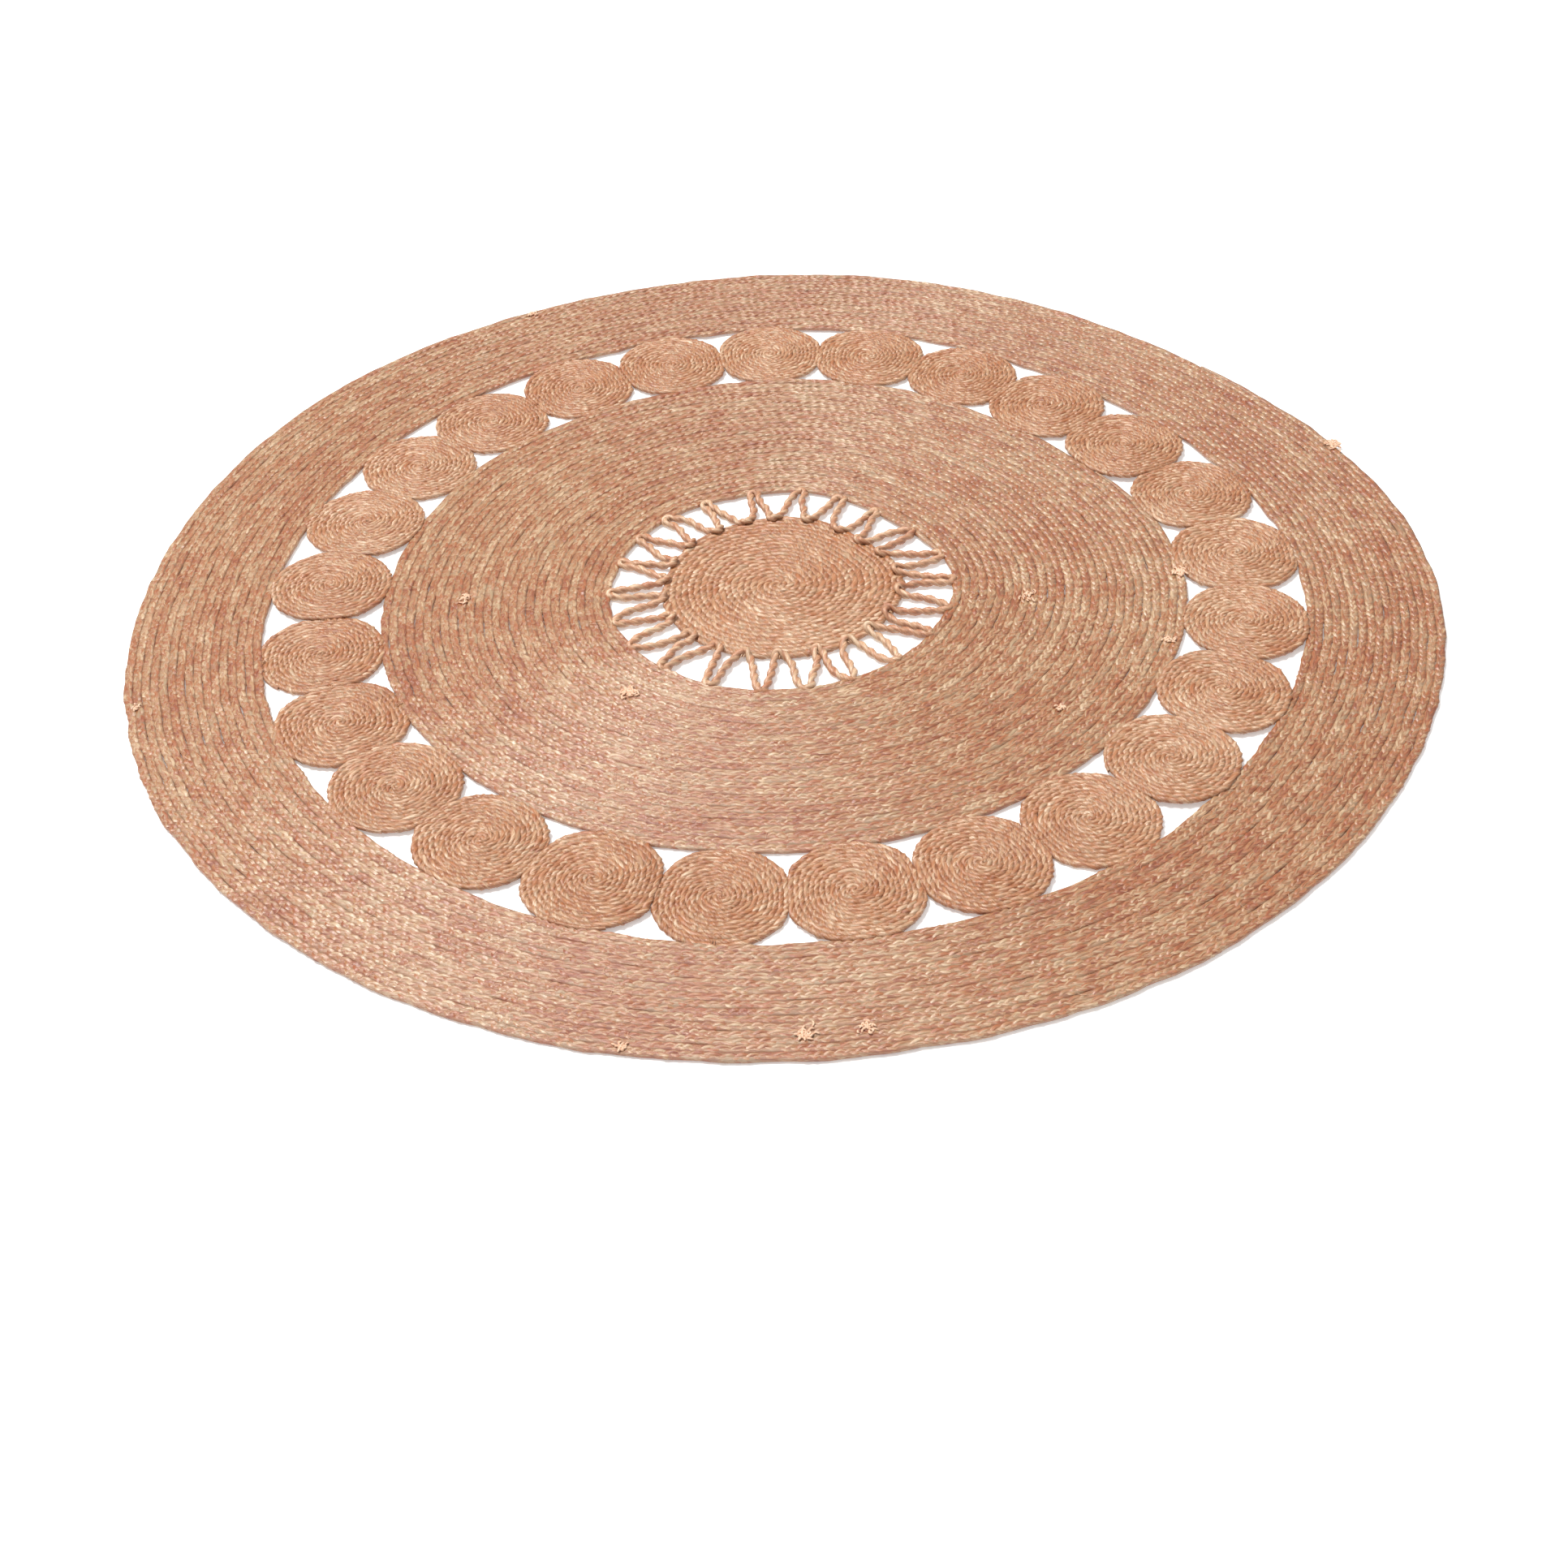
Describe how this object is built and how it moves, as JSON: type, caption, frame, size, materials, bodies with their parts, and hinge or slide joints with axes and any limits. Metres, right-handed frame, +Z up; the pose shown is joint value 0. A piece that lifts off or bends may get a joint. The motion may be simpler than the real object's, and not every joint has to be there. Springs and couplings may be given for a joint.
{
  "type": "round jute area rug",
  "caption": "Round flat area rug of sewn coiled jute braid, with a ring of openwork roundels, a centre medallion and a zigzag cord openwork.",
  "frame": {"origin": "centre of the rug, on its underside, where it meets the floor", "axes": "+Z up out of the top face; +X and +Y in the plane of the floor, with the first roundel on +Y"},
  "size_m": [1.508, 1.503, 0.008],
  "materials": {
    "jute_braid": "coiled flat three-strand braid of undyed jute, tan and straw with rust and grey streaks, dry satin sheen",
    "jute_cord": "two-ply twisted jute cord, even yellowish tan, dry satin sheen",
    "sewing_thread": "natural jute sewing thread, matt"
  },
  "bodies": {
    "root": {"outer_band": "jute_braid", "middle_band": "jute_braid", "centre_medallion": "jute_cord", "openwork_cord": "jute_cord", "roundel_01": "jute_cord", "roundel_02": "jute_cord", "roundel_03": "jute_cord", "roundel_04": "jute_cord", "roundel_05": "jute_cord", "roundel_06": "jute_cord", "roundel_07": "jute_cord", "roundel_08": "jute_cord", "roundel_09": "jute_cord", "roundel_10": "jute_cord", "roundel_11": "jute_cord", "roundel_12": "jute_cord", "roundel_13": "jute_cord", "roundel_14": "jute_cord", "roundel_15": "jute_cord", "roundel_16": "jute_cord", "roundel_17": "jute_cord", "roundel_18": "jute_cord", "roundel_19": "jute_cord", "roundel_20": "jute_cord", "roundel_21": "jute_cord", "roundel_22": "jute_cord", "roundel_23": "jute_cord", "roundel_24": "jute_cord", "roundel_25": "jute_cord", "roundel_stitches": "sewing_thread", "outer_band_stitches": "sewing_thread", "middle_band_stitches": "sewing_thread", "openwork_stitches": "sewing_thread", "medallion_stitches": "sewing_thread"}
  },
  "joints": []
}
